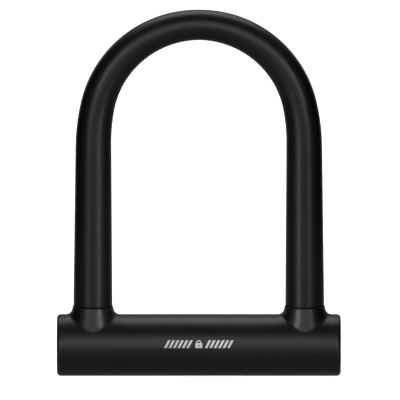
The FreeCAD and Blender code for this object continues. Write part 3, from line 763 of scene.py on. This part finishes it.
# Softboxes in the middle, in the same order of values.
MIDDLE_LIGHTS = (
    ("front window", (0, -1.5, 0.66), MIDDLE, (0.9, 0.95), 5.0, 180),
    ("top window", (0, 0.55, 1.25), MIDDLE, (1.4, 0.8), 8.0, 180),
    ("back window", (0, 1.5, 0.75), MIDDLE, (0.9, 0.4), 0.5, 180),
    ("floor bounce", (0, 0, 0.5 * MM), (0, 0, 1), (0.7, 3.2), 1.3, 180),
)

FLOOR_GLOW = 0.95
ROOM_GLOW = 0.96
# Painted contact shadow on the floor: the floor's glow fades out over these ranges of |x| and |y| under
# the cross bar.
PAINTED_SHADOW_X = (80 * MM, 84 * MM)
PAINTED_SHADOW_Y = (1.3 * MM, 2.0 * MM)
AIM_X = 0.7 * MM
AIM_ABOVE_AXIS = 89.3 * MM
SENSOR_WIDTH = 36


class LOCK_OT_studio(bpy.types.Operator):
    """Lays the floor and sets the lights and the camera"""
    bl_idname = "lock.studio"
    bl_label = "Studio"

    def floor(self, studio):
        """Lays a pale floor that glows evenly, except for a painted contact shadow along the line that
        the cross bar rests on.
        """
        deselect_all()
        bpy.ops.mesh.primitive_plane_add(size=60, location=(0, 0, 0))
        floor = bpy.context.active_object
        floor.name = "floor"
        material = bpy.data.materials.new("Floor paper")
        material.use_nodes = True
        shader = material.node_tree.nodes["Principled BSDF"]
        shader.inputs["Base Color"].default_value = rgba(studio.floor)
        shader.inputs["Roughness"].default_value = 0.9
        shader.inputs["Specular IOR Level"].default_value = 0.1
        shader.inputs["Emission Color"].default_value = (1, 1, 1, 1)
        n = Nodes(material.node_tree)
        where = n.add("ShaderNodeSeparateXYZ", {"Vector": n.add("ShaderNodeTexCoord").outputs["Object"]})
        # Painted contact shadow: no glow in a strip under the cross bar, full glow beyond its ends and
        # beside it.
        past_shadow_ends = n.remap(n.math("ABSOLUTE", where.outputs["X"]), *PAINTED_SHADOW_X)
        beside_painted_shadow = n.remap(n.math("ABSOLUTE", where.outputs["Y"]), *PAINTED_SHADOW_Y)
        glow = n.math("MULTIPLY", n.math("MAXIMUM", past_shadow_ends, beside_painted_shadow), FLOOR_GLOW)
        material.node_tree.links.new(glow, shader.inputs["Emission Strength"])
        floor.data.materials.append(material)
        floor.visible_glossy = False
        floor.visible_diffuse = False

    def softbox(self, name, at, target, size, power, spread):
        """Hangs a rectangular light that the camera doesn't see, turned to its target."""
        light = bpy.data.lights.new(name, "AREA")
        light.shape = "RECTANGLE"
        light.size, light.size_y = size
        light.energy = power
        light.spread = math.radians(spread)
        lamp = bpy.data.objects.new(name, light)
        lamp.visible_camera = False
        bpy.context.scene.collection.objects.link(lamp)
        lamp.location = at
        lamp.rotation_euler = (Vector(target) - Vector(at)).to_track_quat("-Z", "Y").to_euler()

    def room(self, scene):
        """A pale room that the lock doesn't reflect."""
        world = bpy.data.worlds.new("Pale room")
        world.use_nodes = True
        sky = world.node_tree.nodes["Background"]
        sky.inputs["Color"].default_value = (1, 1, 1, 1)
        sky.inputs["Strength"].default_value = ROOM_GLOW
        world.cycles_visibility.glossy = False
        world.cycles_visibility.diffuse = False
        scene.world = world
        scene.view_settings.view_transform = "Standard"

    def camera(self, studio):
        """Sets a long lens far off, so that the lock hardly shows perspective."""
        lens = studio.distance / studio.frame_width
        target = Vector((AIM_X, 0, AXIS_Z + AIM_ABOVE_AXIS))
        back = Vector((0, -math.cos(studio.elevation), math.sin(studio.elevation)))
        data = bpy.data.cameras.new("Camera")
        data.sensor_width = SENSOR_WIDTH
        data.lens = lens * data.sensor_width
        data.clip_end = 100
        camera = bpy.data.objects.new("Camera", data)
        bpy.context.scene.collection.objects.link(camera)
        camera.location = target + back * studio.distance
        camera.rotation_euler = (-back).to_track_quat("-Z", "Y").to_euler()
        bpy.context.scene.camera = camera

    def execute(self, context):
        _, _, studio = settings()
        self.floor(studio)
        for side_name, side in (("left", 1), ("right", -1)):
            mirrored = Vector((side, 1, 1))
            for name, at, target, size, power, spread in SIDE_LIGHTS:
                self.softbox(side_name + " " + name, Vector(at) * mirrored, Vector(target) * mirrored,
                             size, power, spread)
        for light in MIDDLE_LIGHTS:
            self.softbox(*light)
        self.room(context.scene)
        self.camera(studio)
        return {"FINISHED"}


# ---------------------------------------------------------------- panel and run

class LOCK_PT_panel(bpy.types.Panel):
    """Lists the lock's operators and settings"""
    bl_idname = "LOCK_PT_panel"
    bl_label = "U Lock"
    bl_space_type = "VIEW_3D"
    bl_region_type = "UI"
    bl_category = "U Lock"

    def draw(self, context):
        """Shows a button for each operator, then the settings."""
        for operator in OPERATORS:
            self.layout.operator(operator.bl_idname)
        for group in settings():
            box = self.layout.box()
            for name in group.__annotations__:
                box.prop(group, name)


OPERATORS = (LOCK_OT_sleeve, LOCK_OT_cross_bar_skin, LOCK_OT_end_caps, LOCK_OT_small_parts,
             LOCK_OT_inner_parts, LOCK_OT_studio)
CLASSES = (LockSizes, LockFinishes, LockStudio) + OPERATORS + (LOCK_PT_panel,)


def register():
    """Registers the classes and adds the settings to the scene."""
    for cls in CLASSES:
        bpy.utils.register_class(cls)
    bpy.types.Scene.lock_sizes = PointerProperty(type=LockSizes)
    bpy.types.Scene.lock_finishes = PointerProperty(type=LockFinishes)
    bpy.types.Scene.lock_studio = PointerProperty(type=LockStudio)


def unregister():
    """Takes the settings and the classes away again."""
    del bpy.types.Scene.lock_studio
    del bpy.types.Scene.lock_finishes
    del bpy.types.Scene.lock_sizes
    for cls in reversed(CLASSES):
        bpy.utils.unregister_class(cls)


def main():
    """Models, finishes and lights the lock."""
    register()
    bpy.ops.lock.sleeve()
    bpy.ops.lock.cross_bar_skin()
    bpy.ops.lock.end_caps()
    bpy.ops.lock.small_parts()
    bpy.ops.lock.inner_parts()
    bpy.ops.lock.studio()


if __name__ == "__main__":
    main()
